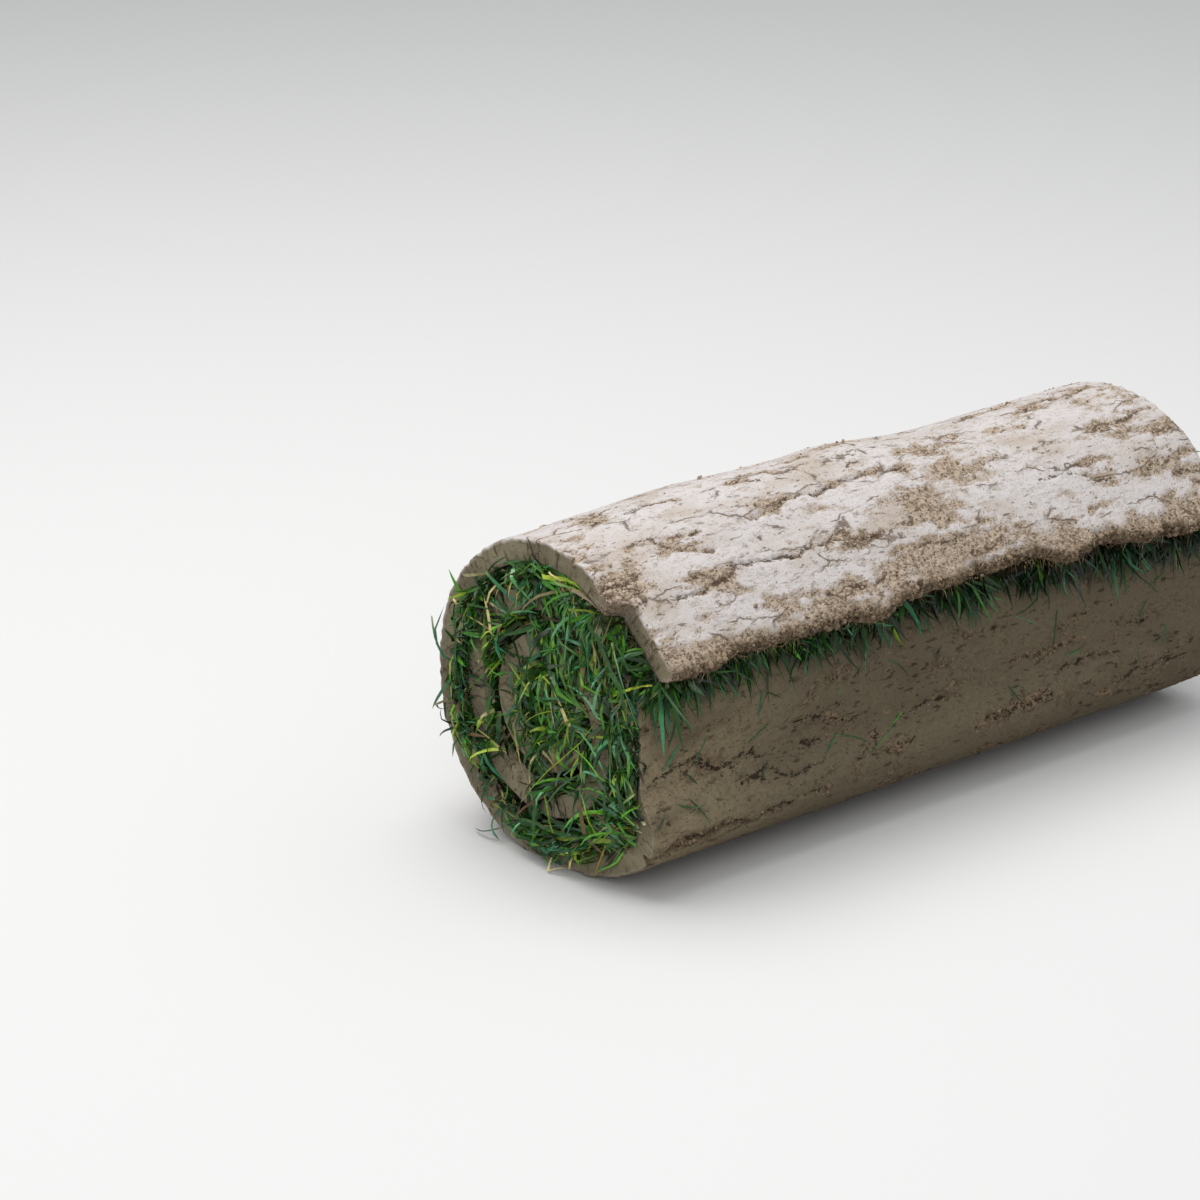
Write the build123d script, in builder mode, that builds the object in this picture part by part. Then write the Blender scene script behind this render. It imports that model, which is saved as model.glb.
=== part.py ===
"""A roll of cut turf: one strip of soil with its sward, rolled grass side in.

The roll lies on a level floor with its axis along X, its near end at -X and
the loose flap of the strip on the -Y side. Z is up and the origin is under
the middle of the roll. Lengths are millimetres and turns are degrees.
"""
import os
from math import cos, radians, sin

from build123d import *

# The strip as it was cut
turf_width = 500.0  # across the strip, so this is the length of the roll
soil_thickness = 15.0
sward_thickness = 10.0  # the flattened grass on the inner face of the soil
sward_spill = 6.0  # how far the grass stands out of each end of the roll

# The roll
roll_radius = 101.8  # outer face of the first turn
side_swell = 11.7  # the open side stands this much further out than a round turn
turn_clearance = 0.4  # least space between the grass and the next turn
core_radius = 4.0  # least bend left inside the innermost turn

# The swell of the first turn, over the near half of the roll
swell_height = 5.5
swell_length = 230.0
swell_middle = -128.0  # along the roll
swell_shift = 20.0  # from the roll's axis to the swell's own, which sets its width
swell_lean = 10.0  # away from the flap

# The flap, where the strip starts
flap_length = 42.0  # straight stretch up to the free edge, at the near end
flap_skew = 14.0  # the free edge is cut askew, so the far end is this much longer
flap_lift = 47.0  # where the strip leaves the round, degrees above level
hinge_turn = 7.0  # from there back to the crack that the flap hinges on
flap_set_back = 11.0  # how far its near end lies behind the end of the roll

# The base, which sags flat under the roll's weight, and the toe beside it
sag_bend = 40.0  # radius where the round meets the flat
sag_turn = 15.0
base_flattening = 11.2  # the rise beside the flat is this much wider than the turn
base_rise = 35.0  # turn from the flat to the toe
toe_bend = 2.0  # bend left inside the toe, within the grass
toe_turn = 100.0  # turn of the toe, past upright
crack_radius = 10.0  # hollow above the toe, where the soil has cracked

# Worked out from these
strip_thickness = soil_thickness + sward_thickness
swell_room = side_swell * (1 - sin(radians(flap_lift)))
pitch = strip_thickness + turn_clearance + swell_room
sag = (roll_radius - sag_bend) * (1 - cos(radians(sag_turn)))
side_reach = roll_radius - pitch + side_swell
side_height = roll_radius - side_swell - sag
tightest_bend = strip_thickness + core_radius
rise_radius = roll_radius + base_flattening
toe_radius = strip_thickness + toe_bend
toe_end = base_rise + toe_turn
back_turn = toe_end - 90


def bend_shift(radius, heading, turn):
    """Sideways and upward travel along a bend to the left that starts at a heading."""
    before = radians(heading)
    after = radians(heading + turn)
    return radius * (sin(after) - sin(before)), radius * (cos(before) - cos(after))


rise_run, rise_height = bend_shift(rise_radius, 0, base_rise)
toe_run, toe_height = bend_shift(toe_radius, base_rise, toe_turn)
back_run, back_height = bend_shift(-crack_radius, toe_end, -back_turn)
flat_start = -(roll_radius - sag_bend) * sin(radians(sag_turn))
flat_end = side_reach - rise_run - toe_run - back_run
base_flat = flat_end - flat_start
wall_height = side_height - rise_height - toe_height - back_height
toe_reach = flat_end + rise_run + bend_shift(toe_radius, base_rise, 90 - base_rise)[0]

# The free edge of the flap, seen from the near end with the floor level
flap_x = roll_radius * cos(radians(flap_lift)) + flap_length * sin(radians(flap_lift))
round_height = roll_radius * (1 + sin(radians(flap_lift))) - sag
flap_z = round_height - flap_length * cos(radians(flap_lift))
flap_far_x = flap_x + flap_skew * sin(radians(flap_lift))
flap_far_z = flap_z - flap_skew * cos(radians(flap_lift))
middle_y = (max(flap_far_x, toe_reach) - roll_radius) / 2

# Runs of the strip's outer face, in order: a straight is (length, 0) and a bend
# is (radius, turn), to the left unless the turn is negative
flap_runs = [(flap_length, 0), (roll_radius, hinge_turn)]
coil_runs = [
    (roll_radius, 270 - flap_lift - hinge_turn - sag_turn),
    (sag_bend, sag_turn),
    (base_flat, 0),
    (rise_radius, base_rise),
    (toe_radius, toe_turn),
    (crack_radius, -back_turn),
    (wall_height, 0),
]
flap_heading = 90 + flap_lift

# The upper right, upper left, lower left and lower right bends, each with the
# straight after it: an inner turn has them one pitch further in each time round,
# until the core is full
low_corner_radius = min(side_reach + sag, side_height)
quarters = [
    (side_reach + pitch, 0),
    (roll_radius, 0),
    (roll_radius - sag, side_reach + sag - low_corner_radius),
    (low_corner_radius, side_height - low_corner_radius),
]
inset = pitch
quarter = 0
while quarters[quarter][0] - inset >= tightest_bend:
    radius, straight = quarters[quarter]
    coil_runs.append((radius - inset, 90))
    if straight > 0:
        coil_runs.append((straight, 0))
    quarter += 1
    if quarter == len(quarters):
        quarter = 0
        inset += pitch


def end_plane(x):
    """The end view at a place along the roll: to the right is -Y, upward is Z."""
    return Plane(origin=(x, middle_y, 0), x_dir=(0, -1, 0), z_dir=(-1, 0, 0))


def run_end(start, heading, runs):
    """Where the strip's outer face is after some runs, and its heading there."""
    x, z = start
    for size, turn in runs:
        if turn == 0:
            x += size * cos(radians(heading))
            z += size * sin(radians(heading))
        else:
            side = size if turn > 0 else -size
            across, up = bend_shift(side, heading, turn)
            x += across
            z += up
        heading += turn
    return (x, z), heading


def draw_layer(start, heading, runs, depth, thickness):
    """Face of one layer of the strip, from its depth below the outer face inward."""
    ends = []
    with BuildLine() as outline:
        for below in (depth, depth + thickness):
            way = heading
            point = Vector(*start) + Vector(1, 0).rotate(Axis.Z, way + 90) * below
            first = point
            for size, turn in runs:
                along = Vector(1, 0).rotate(Axis.Z, way)
                if turn == 0:
                    run = Line(point, point + along * size)
                elif turn > 0:
                    run = JernArc(point, along, size - below, turn)
                else:
                    run = JernArc(point, along, size + below, turn)
                point = run @ 1
                way += turn
            ends.append((first, point))
        (outer_first, outer_last), (inner_first, inner_last) = ends
        Line(outer_first, inner_first)
        Line(outer_last, inner_last)
    make_face(outline.edges())


coil_start, coil_way = run_end((flap_x, flap_z), flap_heading, flap_runs)
far_x = turf_width / 2
near_flap_x = flap_set_back - far_x

# The free edge of the flap is cut by a plane through its two corners, square to its face
near_corner = end_plane(near_flap_x).from_local_coords(Vector(flap_x, flap_z))
far_corner = end_plane(far_x).from_local_coords(Vector(flap_far_x, flap_far_z))
below_corner = (flap_x - sin(radians(flap_heading)), flap_z + cos(radians(flap_heading)))
flap_inward = end_plane(near_flap_x).from_local_coords(Vector(*below_corner)) - near_corner
edge_line = far_corner - near_corner
edge_plane = Plane(origin=near_corner, x_dir=edge_line, z_dir=flap_inward.cross(edge_line))


def flap_layer(depth, thickness, spill):
    """One layer of the flap, with its near end set back and its free edge askew."""
    with BuildPart() as flap:
        with BuildSketch(end_plane(far_x + spill)):
            long_runs = [(flap_length + 2 * flap_skew, 0)] + flap_runs[1:]
            start_x = flap_x + 2 * flap_skew * sin(radians(flap_lift))
            start_z = flap_z - 2 * flap_skew * cos(radians(flap_lift))
            draw_layer((start_x, start_z), flap_heading, long_runs, depth, thickness)
        extrude(amount=turf_width + 2 * spill - flap_set_back)
        split(bisect_by=edge_plane, keep=Keep.BOTTOM)
    return flap.part


def swell_cap():
    """What a spindle, on an axis nearer the top, shows above the round of the first turn."""
    lean = radians(swell_lean)
    axis_point = end_plane(swell_middle).from_local_coords(Vector(0, roll_radius - sag))
    outward = Vector(0, sin(lean), cos(lean))
    spindle_point = axis_point + outward * swell_shift
    end_radius = roll_radius - swell_shift
    with BuildPart() as cap:
        spindle_plane = Plane(origin=spindle_point, x_dir=(1, 0, 0), z_dir=Vector(1, 0, 0).cross(outward))
        with BuildSketch(spindle_plane):
            with BuildLine() as profile:
                left, right = (-swell_length / 2, end_radius), (swell_length / 2, end_radius)
                ThreePointArc(left, (0, end_radius + swell_height), right)
                Polyline(right, (swell_length / 2, 0), (-swell_length / 2, 0), left)
            make_face(profile.edges())
        revolve(axis=Axis(spindle_point, (1, 0, 0)))
        with Locations(Plane(origin=axis_point, z_dir=(1, 0, 0))):
            Cylinder(roll_radius - 1, swell_length + 2, mode=Mode.SUBTRACT)
    return cap.part


soil_flap = flap_layer(0, soil_thickness, 0)
sward_flap = flap_layer(soil_thickness, sward_thickness, sward_spill)

# The soil: the coil from end to end, and the flap
with BuildPart() as soil_mat:
    with BuildSketch(end_plane(far_x)):
        draw_layer(coil_start, coil_way, coil_runs, 0, soil_thickness)
    extrude(amount=turf_width)
    add(soil_flap)
    add(swell_cap())
soil_mat.part.label = "soil_mat"

# The grass: face to face with the soil, and standing out of both ends
spill_x = far_x + sward_spill
with BuildPart() as grass_sward:
    with BuildSketch(end_plane(spill_x)):
        draw_layer(coil_start, coil_way, coil_runs, soil_thickness, sward_thickness)
    extrude(amount=turf_width + 2 * sward_spill)
    add(sward_flap)
grass_sward.part.label = "grass_sward"

os.makedirs("parts", exist_ok=True)
export_step(soil_mat.part, "parts/soil_mat.step")
export_step(grass_sward.part, "parts/grass_sward.step")

strip_length = soil_mat.part.volume / (soil_thickness * turf_width)
print(f"strip length {strip_length:.0f}, pitch {pitch:.1f}, open side {wall_height:.1f} upright")
print(f"flat {base_flat:.1f} wide, centred on y {middle_y - (flat_start + flat_end) / 2:.2f}")
print(f"middle of the roll at y {middle_y:.2f}")
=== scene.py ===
import math

import bmesh
import bpy
import numpy as np
from mathutils import Matrix, Vector


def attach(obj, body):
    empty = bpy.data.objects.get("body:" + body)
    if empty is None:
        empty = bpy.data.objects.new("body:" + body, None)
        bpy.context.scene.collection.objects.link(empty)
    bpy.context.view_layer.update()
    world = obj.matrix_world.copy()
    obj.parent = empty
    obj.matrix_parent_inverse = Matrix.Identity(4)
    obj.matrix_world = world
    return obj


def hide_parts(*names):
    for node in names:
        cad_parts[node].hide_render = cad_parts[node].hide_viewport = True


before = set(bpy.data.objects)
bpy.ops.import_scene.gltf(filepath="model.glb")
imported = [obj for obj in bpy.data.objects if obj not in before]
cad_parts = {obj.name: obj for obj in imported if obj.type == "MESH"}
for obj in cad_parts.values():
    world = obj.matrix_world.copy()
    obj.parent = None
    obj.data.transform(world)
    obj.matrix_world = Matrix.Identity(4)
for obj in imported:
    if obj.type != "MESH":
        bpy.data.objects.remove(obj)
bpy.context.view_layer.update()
print("frame loaded:", len(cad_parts), "nodes")

# The strip's section, the same lengths as the solids (millimetres, degrees)
roll = {
    "width": 500.0,
    "soil": 15.0,
    "sward": 10.0,
    "radius": 101.8,
    "sideSwell": 11.7,
    "clearance": 0.4,
    "core": 4.0,
    "flapLength": 42.0,
    "flapSkew": 14.0,
    "flapLift": 47.0,
    "hingeTurn": 7.0,
    "flapSetBack": 11.0,
    "sagBend": 40.0,
    "sagTurn": 15.0,
    "baseFlattening": 11.2,
    "baseRise": 35.0,
    "toeBend": 2.0,
    "toeTurn": 100.0,
    "crackRadius": 10.0,
    "swellHeight": 5.5,
    "swellLength": 230.0,
    "swellMiddle": -128.0,
    "swellShift": 20.0,
    "swellLean": 10.0,
}


def bendShift(radius, heading, turn):
    before = math.radians(heading)
    after = math.radians(heading + turn)
    return radius * (math.sin(after) - math.sin(before)), radius * (math.cos(before) - math.cos(after))


def laySection(r):
    # every run of the outer face: where it starts, its heading, its curvature and its length
    liftAngle = math.radians(r["flapLift"])
    strip = r["soil"] + r["sward"]
    pitch = strip + r["clearance"] + r["sideSwell"] * (1 - math.sin(liftAngle))
    sag = (r["radius"] - r["sagBend"]) * (1 - math.cos(math.radians(r["sagTurn"])))
    sideReach = r["radius"] - pitch + r["sideSwell"]
    sideHeight = r["radius"] - r["sideSwell"] - sag
    riseRadius = r["radius"] + r["baseFlattening"]
    toeRadius = strip + r["toeBend"]
    toeEnd = r["baseRise"] + r["toeTurn"]
    backTurn = toeEnd - 90
    riseRun, riseHeight = bendShift(riseRadius, 0, r["baseRise"])
    toeRun, toeHeight = bendShift(toeRadius, r["baseRise"], r["toeTurn"])
    backRun, backHeight = bendShift(-r["crackRadius"], toeEnd, -backTurn)
    flatStart = -(r["radius"] - r["sagBend"]) * math.sin(math.radians(r["sagTurn"]))
    flatEnd = sideReach - riseRun - toeRun - backRun
    wall = sideHeight - riseHeight - toeHeight - backHeight
    toeReach = flatEnd + riseRun + bendShift(toeRadius, r["baseRise"], 90 - r["baseRise"])[0]
    flapX = r["radius"] * math.cos(liftAngle) + r["flapLength"] * math.sin(liftAngle)
    flapZ = r["radius"] * (1 + math.sin(liftAngle)) - sag - r["flapLength"] * math.cos(liftAngle)
    farX = flapX + r["flapSkew"] * math.sin(liftAngle)
    middleY = (max(farX, toeReach) - r["radius"]) / 2
    runs = [
        (r["flapLength"], 0),
        (r["radius"], r["hingeTurn"]),
        (r["radius"], 270 - r["flapLift"] - r["hingeTurn"] - r["sagTurn"]),
        (r["sagBend"], r["sagTurn"]),
        (flatEnd - flatStart, 0),
        (riseRadius, r["baseRise"]),
        (toeRadius, r["toeTurn"]),
        (r["crackRadius"], -backTurn),
        (wall, 0),
    ]
    lowCorner = min(sideReach + sag, sideHeight)
    quarters = [
        (sideReach + pitch, 0),
        (r["radius"], 0),
        (r["radius"] - sag, sideReach + sag - lowCorner),
        (lowCorner, sideHeight - lowCorner),
    ]
    inset = pitch
    quarter = 0
    while quarters[quarter][0] - inset >= strip + r["core"]:
        bend, straight = quarters[quarter]
        runs.append((bend - inset, 90))
        if straight > 0:
            runs.append((straight, 0))
        quarter = (quarter + 1) % len(quarters)
        if quarter == 0:
            inset += pitch
    rows = []
    x, z, heading, gone = flapX, flapZ, 90 + r["flapLift"], 0.0
    for size, turn in runs:
        way = math.radians(heading)
        side = size if turn > 0 else -size
        rows.append((gone, x, z, way, 1 / side if turn else 0.0))
        if turn == 0:
            across, up = size * math.cos(way), size * math.sin(way)
        else:
            across, up = bendShift(side, heading, turn)
            size *= abs(math.radians(turn))
        x, z, gone, heading = x + across, z + up, gone + size, heading + turn
    return np.array(rows), gone, middleY, np.array([0.0, r["radius"] - sag])


sectionRuns, stripLength, middleY, rollCentre = laySection(roll)
halfWidth = roll["width"] / 2
flapEnd = -halfWidth + roll["flapSetBack"]  # near end of the flap
hingeStart = roll["flapLength"]
hingeEnd = hingeStart + roll["radius"] * math.radians(roll["hingeTurn"])
crackStart, wallStart = sectionRuns[7][0], sectionRuns[8][0]
mm = 0.001
print("section laid, strip %.0f mm" % stripLength)


def sectionAt(s, depth):
    # place in the end view, and the heading, at a length along the strip and a depth below its outer face
    row = np.clip(np.searchsorted(sectionRuns[:, 0], s, side="right") - 1, 0, len(sectionRuns) - 1)
    start, x0, z0, way, curve = np.moveaxis(sectionRuns[row], -1, 0)
    t = s - start
    bent = np.where(curve == 0, 1.0, curve)
    angle = way + curve * t
    x = np.where(curve == 0, x0 + t * np.cos(way), x0 + (np.sin(angle) - np.sin(way)) / bent)
    z = np.where(curve == 0, z0 + t * np.sin(way), z0 + (np.cos(way) - np.cos(angle)) / bent)
    return x - np.sin(angle) * depth, z + np.cos(angle) * depth, angle


def toRow(across, sx, sz):
    # metres in the row frame, from the place along the roll and in the end view
    return np.stack([across, middleY - sx, sz], axis=-1) * mm


def smoothStep(low, high, value):
    t = np.clip((value - low) / (high - low), 0, 1)
    return t * t * (3 - 2 * t)


def valueNoise(u, v, seed):
    # smooth noise from -1 to 1 with cells of one unit
    lattice = np.random.default_rng(seed).random((256, 256)) * 2 - 1
    i, j = np.floor(u).astype(int), np.floor(v).astype(int)
    f, g = u - i, v - j
    f, g = f * f * (3 - 2 * f), g * g * (3 - 2 * g)
    a, b = lattice[i % 256, j % 256], lattice[(i + 1) % 256, j % 256]
    c, d = lattice[i % 256, (j + 1) % 256], lattice[(i + 1) % 256, (j + 1) % 256]
    return (a * (1 - f) + b * f) * (1 - g) + (c * (1 - f) + d * f) * g


def layeredNoise(u, v, seed, octaves=3, rough=0.5):
    total, weight, scale = 0, 1.0, 1.0
    for n in range(octaves):
        total = total + weight * valueNoise(u * scale + 17.3 * n, v * scale - 9.1 * n, seed + n)
        weight *= rough
        scale *= 2.03
    return total


def fade(distance, reach):
    # 1 at the start, and less with the distance from it
    return np.exp(-np.maximum(distance, 0) / reach)


def bell(value, middle, half):
    return np.exp(-(((value - middle) / half) ** 2))


def hump(s, x, middleS, middleX, halfS, halfX):
    # a round place on the strip, 1 in its middle
    return np.exp(-(((s - middleS) / halfS) ** 2) - ((x - middleX) / halfX) ** 2)


soilSettings = {
    "seed": 7,
    "count": 120,
    "end": 620.0,
    "wave": 0.8,
    "plates": 0.60,
    "scallop": 2.0,
    "ragged": True,
    "noseLength": 3.4,
    "nose": (0.1, 0.45, 0.75, 0.93),
    "cells": (276, 7, 44),
    # the top's rise and the hinge's broken corner: middle and half sizes, along the strip and across it
    "rise": ((150, 4, 54, 47), 5.4),
    "brokenCorner": (64, -248, 9, 13),
}

# Cracks, as places along the strip and across it
mainCracks = [
    # points, half width, depth
    ([(83, -118), (88, -92), (92, -66), (93, -42), (96, -26), (98, -10), (91, 4), (95, 24)], 1.7, 5.0),
    ([(45, -208), (43, -188), (46, -168), (53, -156), (52, -132), (49, -112), (53, -88), (51, -70),
      (48, -36)], 1.5, 4.0),
    ([(123, -212), (121, -180), (124, -160), (119, -146)], 0.9, 2.5),
    ([(88, -196), (80, -188), (74, -180), (69, -160)], 1.4, 3.5),
    ([(64, -251), (66, -240), (63, -230), (67, -222)], 2.6, 5.5),
    ([(56, -251), (57, -243), (61, -236)], 2.2, 5.0),
    ([(81, 190), (81, 218), (84, 244)], 1.2, 3.0),
    ([(53, 108), (48, 138), (37, 166)], 1.1, 2.6),
    ([(587, -240), (592, -222), (593, -204), (581, -188), (583, -178)], 1.3, 2.6),
    ([(568, -178), (572, -154), (563, -134), (567, -118)], 1.3, 2.6),
    ([(597, -138), (594, -100), (598, -84)], 1.0, 2.2),
    ([(538, -251), (540, -238), (544, -224), (542, -212), (546, -194)], 2.8, 6.0),
    ([(546, -194), (543, -170), (547, -140)], 1.9, 4.4),
    ([(547, -140), (551, -122), (549, -104)], 0.9, 2.0),
    ([(561, -70), (558, -48), (562, -30)], 0.8, 1.6),
    ([(556, 20), (560, 46), (557, 70), (559, 92)], 0.9, 1.8),
    ([(555, 150), (558, 186), (556, 214)], 0.8, 1.6),
    ([(576, -40), (580, -12), (577, 16)], 0.9, 1.8),
    ([(590, 60), (586, 96), (589, 120)], 0.8, 1.6),
    ([(572, 100), (575, 134), (571, 160)], 0.8, 1.6),
]


def strayCracks(settings):
    rng = np.random.default_rng(settings["seed"])
    lines = []
    for n in range(settings["count"]):
        s = rng.uniform(6, settings["end"])
        x = rng.uniform(-halfWidth, halfWidth)
        way = rng.choice([-1, 1])
        points = [(s, x)]
        for k in range(int(rng.integers(2, 8))):
            s += rng.normal(0, 2.6)
            x += way * rng.uniform(4, 11)
            points.append((s, x))
        lines.append((points, rng.uniform(0.5, 1.2), rng.uniform(1.0, 2.8)))
    return lines


def crackField(s, x, lines):
    # how deep the cracks go at each place, and how near the closest one is
    depth = np.zeros_like(s)
    near = np.full_like(s, 99.0)
    warpS = s + 1.5 * layeredNoise(s / 5, x / 5, 301) + 2.2 * valueNoise(s / 14, x / 12, 302)
    warpX = x + 1.5 * layeredNoise(s / 5, x / 5, 303)
    for points, half, deep in lines:
        line = np.array(points, float)
        low, high = line.min(0) - 14, line.max(0) + 14
        inside = (s > low[0]) & (s < high[0]) & (x > low[1]) & (x < high[1])
        if not inside.any():
            continue
        p = np.stack([warpS[inside], warpX[inside]], -1)
        best = np.full(len(p), 99.0)
        for a, b in zip(line[:-1], line[1:]):
            along = np.clip(((p - a) @ (b - a)) / ((b - a) @ (b - a)), 0, 1)
            best = np.minimum(best, np.linalg.norm(p - a - along[:, None] * (b - a), axis=1))
        spread = half * (0.7 + 0.5 * valueNoise(p[:, 0] / 7, p[:, 1] / 7, 304))
        cut = deep * np.clip(1 - best / np.maximum(spread, 0.3), 0, 1) ** 0.7
        depth[inside] = np.maximum(depth[inside], cut)
        near[inside] = np.minimum(near[inside], best)
    return depth, near


def swellAt(s, x):
    # the first turn's swell above the round, a spindle on an axis nearer the top
    off = sectionAt(s, 0.0)[2] - math.radians(180 + roll["swellLean"])
    half = roll["swellLength"] / 2
    bend = (half ** 2 + roll["swellHeight"] ** 2) / (2 * roll["swellHeight"])
    along = np.clip(x - roll["swellMiddle"], -half, half)
    spindle = roll["radius"] - roll["swellShift"] + roll["swellHeight"] - bend
    spindle = spindle + np.sqrt(bend ** 2 - along ** 2)
    shift = roll["swellShift"]
    reach = shift * np.cos(off) + np.sqrt(np.maximum(spindle ** 2 - (shift * np.sin(off)) ** 2, 0))
    firstTurn = (s < 300) & (np.abs(off) < math.pi / 2)
    return np.maximum(reach - roll["radius"], 0) * firstTurn


# Crumbly places of the first turn, and smooth ones: middle and half sizes, along the strip and across it
crumbPlaces = [
    ((88, 52, 15, 32), 0.75),
    ((58, 8, 18, 18), 0.65),
    ((26, 2, 12, 28), 0.8),
    ((33, -144, 6, 15), 0.5),
    ((62, -238, 13, 17), 1.0),
    ((80, -186, 7, 14), 0.35),
    ((70, 206, 13, 30), 0.55),
    ((38, 160, 7, 26), 0.45),
    ((104, -214, 10, 26), 0.4),
    ((67, -92, 9, 36), -0.9),
    ((35, -86, 9, 34), -1.0),
    ((19, -190, 8, 24), -0.9),
    ((38, -205, 13, 30), -0.8),
    ((104, -168, 16, 44), -0.6),
    ((110, -70, 14, 60), -0.6),
    ((52, 108, 12, 46), -0.6),
    ((545, -222, 6, 26), 1.0),
]

# The flap's free edge as it was torn: place across the strip, and along it from the solid's edge
edgePlaces = [
    (-250, -2.0), (-239, -2.0), (-219, -4.0), (-205, -0.8), (-186, 1.4), (-165, 1.8), (-134, 0.6),
    (-117, 0.8), (-107, 1.6), (-92, -0.4), (-71, -0.6), (-57, -1.4), (-50, 2.4), (-32, 3.4), (-1, 3.0),
    (21, 6.0), (45, 3.6), (74, 5.4), (80, 2.0), (89, -2.0), (98, -3.0), (116, 0.5), (137, 1.0), (157, -3.0),
    (173, -6.0), (185, -5.0), (211, -10.0), (232, -8.0), (250, -7.0),
]


def freeEdge(x):
    # the flap's free edge: askew, torn and crumbly
    torn = soilSettings["scallop"] * layeredNoise(x / 9, 3.7, 61, 4, 0.7) * smoothStep(-238, -222, x)
    return np.interp(x, *np.array(edgePlaces).T) + torn


def lipDampShade(s, x, width):
    # the torn edge is damp and painted with shade, and the strip behind it over a width
    return bell(np.maximum(s - freeEdge(x), 0), 0, width)


def soilRelief(s, x, settings, lines):
    # height of the outer face, and its masks: crumbs, pits, the nearest crack and moisture with painted
    # shade
    top = smoothStep(20, 70, s) * (1 - smoothStep(200, 260, s))
    risePlace, riseHeight = settings["rise"]
    bulge = swellAt(s, x) + riseHeight * hump(s, x, *risePlace)
    dip = -1.2 * bell(x, 95, 38) * top
    wave = settings["wave"] * layeredNoise(s / 70, x / 90, 11, 2)
    wave = wave * (1 - 0.7 * smoothStep(400, 430, s) * (1 - smoothStep(470, 520, s)))
    # plates, and what lies lower between them: crumbs, pits and cracks
    field = 0.80 * layeredNoise(s / 13, x / 34, 21, 5, 0.74) + settings["plates"]
    field = field - 2.6 * fade(s - 1, np.maximum(8 + 5 * layeredNoise(x / 26, 0.0, 22, 2), 2.5))
    for place, strength in crumbPlaces:
        field = field - 1.5 * strength * hump(s, x, *place)
    cracked, near = crackField(s, x, lines)
    field = field - 1.2 * fade(near, 3.0) + 0.55 * smoothStep(520, 560, s)
    plate = smoothStep(-0.15, 0.35, field)
    crumb = 1 - smoothStep(-0.65, 0.85, field)
    grit = layeredNoise(s / 2.7, x / 3.3, 41, 2, 0.8)
    pits = np.clip(layeredNoise(s / 4.5, x / 7, 51, 2) - 0.78, 0, 1)
    height = bulge + dip + wave + 0.35 * plate + 0.22 * grit * plate
    height = height + (1 - plate) * (0.75 * grit - 0.3) - 2.0 * pits * (0.3 + 0.7 * crumb)
    height = height - cracked * (0.6 + 0.9 * bell(s, 543, 8))
    height = height - hump(s, x, *settings["brokenCorner"]) * (3.6 + 1.6 * grit)
    # darker on the underside, on the second turn under the flap and at the torn lip: partly damp soil,
    # partly painted shade
    moist = smoothStep(190, 320, s) * 0.5 + 0.5 * smoothStep(440, 540, s)
    moist = np.maximum(moist, 0.95 * lipDampShade(s, x, 6.5 + 3.5 * valueNoise(x / 9, 8.3, 305)))
    return height, crumb, np.clip(1.3 * pits * crumb, 0, 1), np.minimum(near, 20), moist


def setAttribute(mesh, name, values):
    # a number or a vector for each vertex
    vector = values.size == 3 * len(mesh.vertices)
    layer = mesh.attributes.new(name, "FLOAT_VECTOR" if vector else "FLOAT", "POINT")
    layer.data.foreach_set("vector" if vector else "value", values.astype(np.float32).ravel())


def setMasks(mesh, masks):
    # the masks that the earth material reads
    for name, values in zip(("crumb", "crack", "crackNear", "moist", "cutFace"), masks):
        setAttribute(mesh, name, values)


def gridObject(name, s, x, depth):
    # a grid with its vertices moved to their places on the rolled strip, rows along it
    rows, columns = s.shape
    bpy.ops.object.select_all(action="DESELECT")
    bpy.ops.mesh.primitive_grid_add(x_subdivisions=columns - 1, y_subdivisions=rows - 1, size=1)
    piece = bpy.context.object
    piece.name = name
    piece.data.name = name
    sx, sz = sectionAt(s, depth)[:2]
    places = toRow(x, sx, np.maximum(sz, 0.0))
    piece.data.vertices.foreach_set("co", places.astype(np.float32).reshape(-1))
    setAttribute(piece.data, "stripPlace", np.stack([s, x, depth], -1) * mm)
    piece.data.update()
    return piece


def capNose(piece, columns, middle):
    # closes the first ring with triangles between its outer and its inner row
    shape = bmesh.new()
    shape.from_mesh(piece.data)
    shape.verts.ensure_lookup_table()
    ring = [shape.verts[n] for n in range(columns)]
    upper, lower = ring[:middle], ring[middle:][::-1]
    a = b = 0
    while a < len(upper) - 1 or b < len(lower) - 1:
        lowerDone = b == len(lower) - 1
        upperNext = a < len(upper) - 1 and (lowerDone or upper[a + 1].co.x <= lower[b + 1].co.x)
        if upperNext:
            shape.faces.new((upper[a], upper[a + 1], lower[b]))
            a += 1
        else:
            shape.faces.new((upper[a], lower[b + 1], lower[b]))
            b += 1
    shape.to_mesh(piece.data)
    shape.free()


def closeTube():
    # the seam of the rolled grid is merged and its two ends are filled
    bpy.ops.object.mode_set(mode="EDIT")
    bpy.ops.mesh.select_all(action="SELECT")
    bpy.ops.mesh.remove_doubles(threshold=1e-7)
    bpy.ops.mesh.select_all(action="DESELECT")
    bpy.ops.mesh.select_mode(type="EDGE")
    bpy.ops.mesh.select_non_manifold()
    bpy.ops.mesh.fill_holes(sides=0)
    bpy.ops.mesh.select_all(action="SELECT")
    bpy.ops.mesh.normals_make_consistent(inside=False)
    bpy.ops.object.mode_set(mode="OBJECT")
    bpy.ops.object.shade_smooth()


def slabLoop(cells):
    # once round the strip's own section: outer face, far end, inner face, near end
    outer, end, inner = cells
    u = np.concatenate([[0, 0.0012, 0.0032], np.linspace(0.0062, 0.9938, outer - 5), [0.9968, 0.9988]])
    along = [(a, 0.0, 0) for a in u]
    along += [(1.0, d, 1) for d in np.linspace(0, 1, end + 1)[:-1]]
    along += [(1 - a, 1.0, 2) for a in np.linspace(0, 1, inner + 1)[:-1]]
    along += [(0.0, 1 - d, 3) for d in np.linspace(0, 1, end + 1)]
    return np.array(along)


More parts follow.
